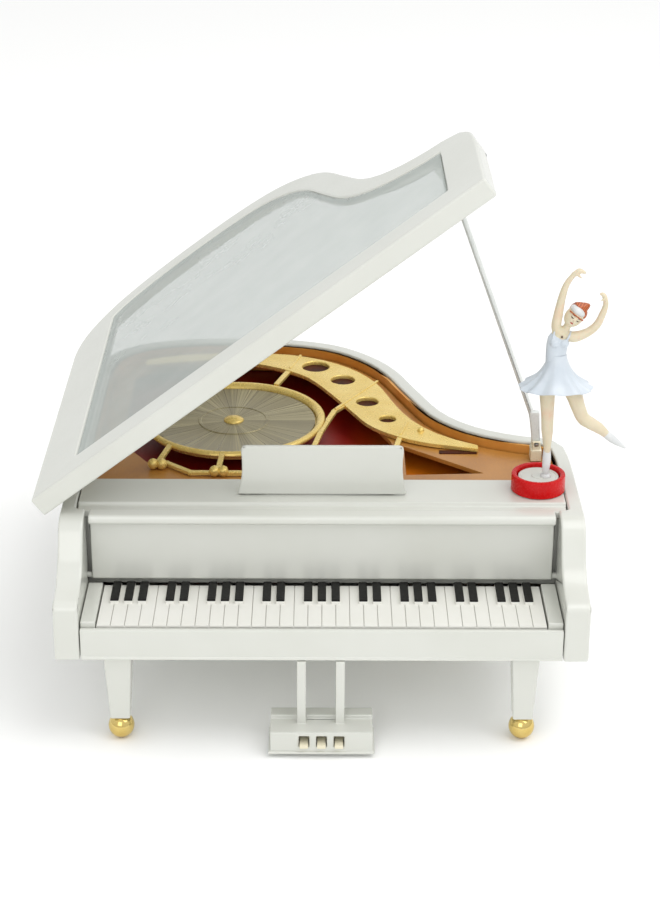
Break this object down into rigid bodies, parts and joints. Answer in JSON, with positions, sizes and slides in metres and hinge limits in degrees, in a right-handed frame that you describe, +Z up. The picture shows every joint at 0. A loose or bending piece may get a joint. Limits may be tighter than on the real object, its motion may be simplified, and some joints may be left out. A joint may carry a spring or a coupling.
{
  "type": "musical jewellery box",
  "caption": "Small white grand piano music box with propped lid, gold harp and a ballerina turning on a red pedestal.",
  "frame": {"origin": "on the table, under the middle of the whole box as stored with its lid propped open", "axes": "+X to the player's right, +Y from the keyboard to the tail, +Z up"},
  "size_m": [0.1828, 0.185, 0.1725],
  "materials": {
    "white_plastic": "gloss moulded",
    "keys": "gloss moulded, sharps painted black",
    "pedal_plastic": "gloss moulded",
    "prop_plastic": "semi-clear moulded",
    "clear_window": "clear plastic sheet",
    "red_plastic": "gloss moulded",
    "figure_paint": "hand painted",
    "dress_paint": "hand painted",
    "hair_paint": "hand painted",
    "gold_plate": "bright plated",
    "sunburst": "radially brushed foil",
    "amber_trim": "metallic lacquer",
    "tan_board": "metallic lacquer",
    "red_brown_floor": "gloss lacquer",
    "brass": "machined",
    "steel": "machined"
  },
  "bodies": {
    "case": {"case_body": "white_plastic", "bottom_cover": "white_plastic", "cover_screw_front_left": "steel", "cover_screw_front_right": "steel", "cover_screw_rear_left": "steel", "cover_screw_rear_right": "steel", "key_slip": "white_plastic", "keyboard": "keys", "key_block_left": "white_plastic", "key_block_right": "white_plastic", "front_deck": "white_plastic", "pedestal_ring": "red_plastic", "idler_post": "steel", "movement_plate": "steel", "cylinder_bracket": "steel", "comb": "steel", "comb_bed": "steel", "comb_screw_outer": "steel", "comb_screw_inner": "steel", "governor_cage": "steel", "floor_tray": "red_brown_floor", "inner_trim": "amber_trim", "soundboard": "tan_board", "harp_plate": "gold_plate", "rosette_ring": "gold_plate", "rosette_disc": "sunburst", "front_hinge_case_leaf": "white_plastic", "rear_hinge_case_leaf": "white_plastic", "front_hinge_pin": "steel", "rear_hinge_pin": "steel", "prop_bracket": "pedal_plastic", "prop_pin": "steel", "leg_front_left": "white_plastic", "leg_front_right": "white_plastic", "leg_rear": "white_plastic", "foot_front_left": "gold_plate", "foot_front_right": "gold_plate", "foot_rear": "gold_plate", "pedal_lyre": "white_plastic", "pedals": "pedal_plastic"},
    "lid": {"lid_frame": "white_plastic", "lid_window": "clear_window", "lid_catch": "white_plastic", "front_hinge_lid_leaf": "white_plastic", "rear_hinge_lid_leaf": "white_plastic"},
    "prop": {"prop_stick": "prop_plastic"},
    "desk": {"music_desk": "white_plastic"},
    "fallboard": {"fallboard": "white_plastic"},
    "dancer": {"dancer_figure": "figure_paint", "dancer_skirt": "dress_paint", "dancer_hair": "hair_paint", "turntable_disc": "white_plastic", "dancer_spindle": "brass"},
    "idler": {"idler_gear": "brass"},
    "barrel": {"spring_barrel": "brass"},
    "cylinder": {"pin_cylinder": "brass"},
    "governor": {"governor": "brass"},
    "key": {"winding_arbor": "steel", "winding_key": "brass"}
  },
  "joints": [
    {"name": "lid_hinge", "type": "hinge", "parent": "case", "child": "lid", "pos_m": [-0.08494, -0.0261, 0.0622], "axis": [0, -1, 0], "range_deg": [0, 38]},
    {"name": "prop_swing", "type": "hinge", "parent": "case", "child": "prop", "pos_m": [0.06696, -0.0086, 0.0682], "axis": [0, -1, 0], "range_deg": [0, 70]},
    {"name": "desk_fold", "type": "hinge", "parent": "case", "child": "desk", "pos_m": [-0.00264, -0.0429, 0.0672], "axis": [-1, 0, 0], "range_deg": [0, 78]},
    {"name": "fallboard_hinge", "type": "hinge", "parent": "case", "child": "fallboard", "pos_m": [-0.00264, -0.0561, 0.044], "axis": [1, 0, 0], "range_deg": [0, 74]},
    {"name": "key_wind", "type": "hinge", "parent": "case", "child": "key", "pos_m": [0.03393, -0.022, 0.024], "axis": [0, 0, 1], "continuous": true},
    {"name": "barrel_spin", "type": "hinge", "parent": "case", "child": "barrel", "pos_m": [0.03393, -0.022, 0.045], "axis": [0, 0, 1], "continuous": true},
    {"name": "idler_spin", "type": "hinge", "parent": "case", "child": "idler", "pos_m": [0.05212, -0.0325, 0.051], "axis": [0, 0, 1], "continuous": true},
    {"name": "dancer_spin", "type": "hinge", "parent": "case", "child": "dancer", "pos_m": [0.06476, -0.0398, 0.06], "axis": [0, 0, 1], "continuous": true},
    {"name": "cylinder_spin", "type": "hinge", "parent": "case", "child": "cylinder", "pos_m": [0.01393, -0.022, 0.0444], "axis": [1, 0, 0], "continuous": true},
    {"name": "governor_spin", "type": "hinge", "parent": "case", "child": "governor", "pos_m": [0.00536, -0.0066, 0.042], "axis": [0, 0, 1], "continuous": true}
  ],
  "couplings": [
    {"joint": "idler_spin", "follows": "barrel_spin", "ratio": -1.6},
    {"joint": "dancer_spin", "follows": "barrel_spin", "ratio": 2},
    {"joint": "cylinder_spin", "follows": "barrel_spin", "ratio": 2.6667},
    {"joint": "governor_spin", "follows": "barrel_spin", "ratio": -24}
  ]
}
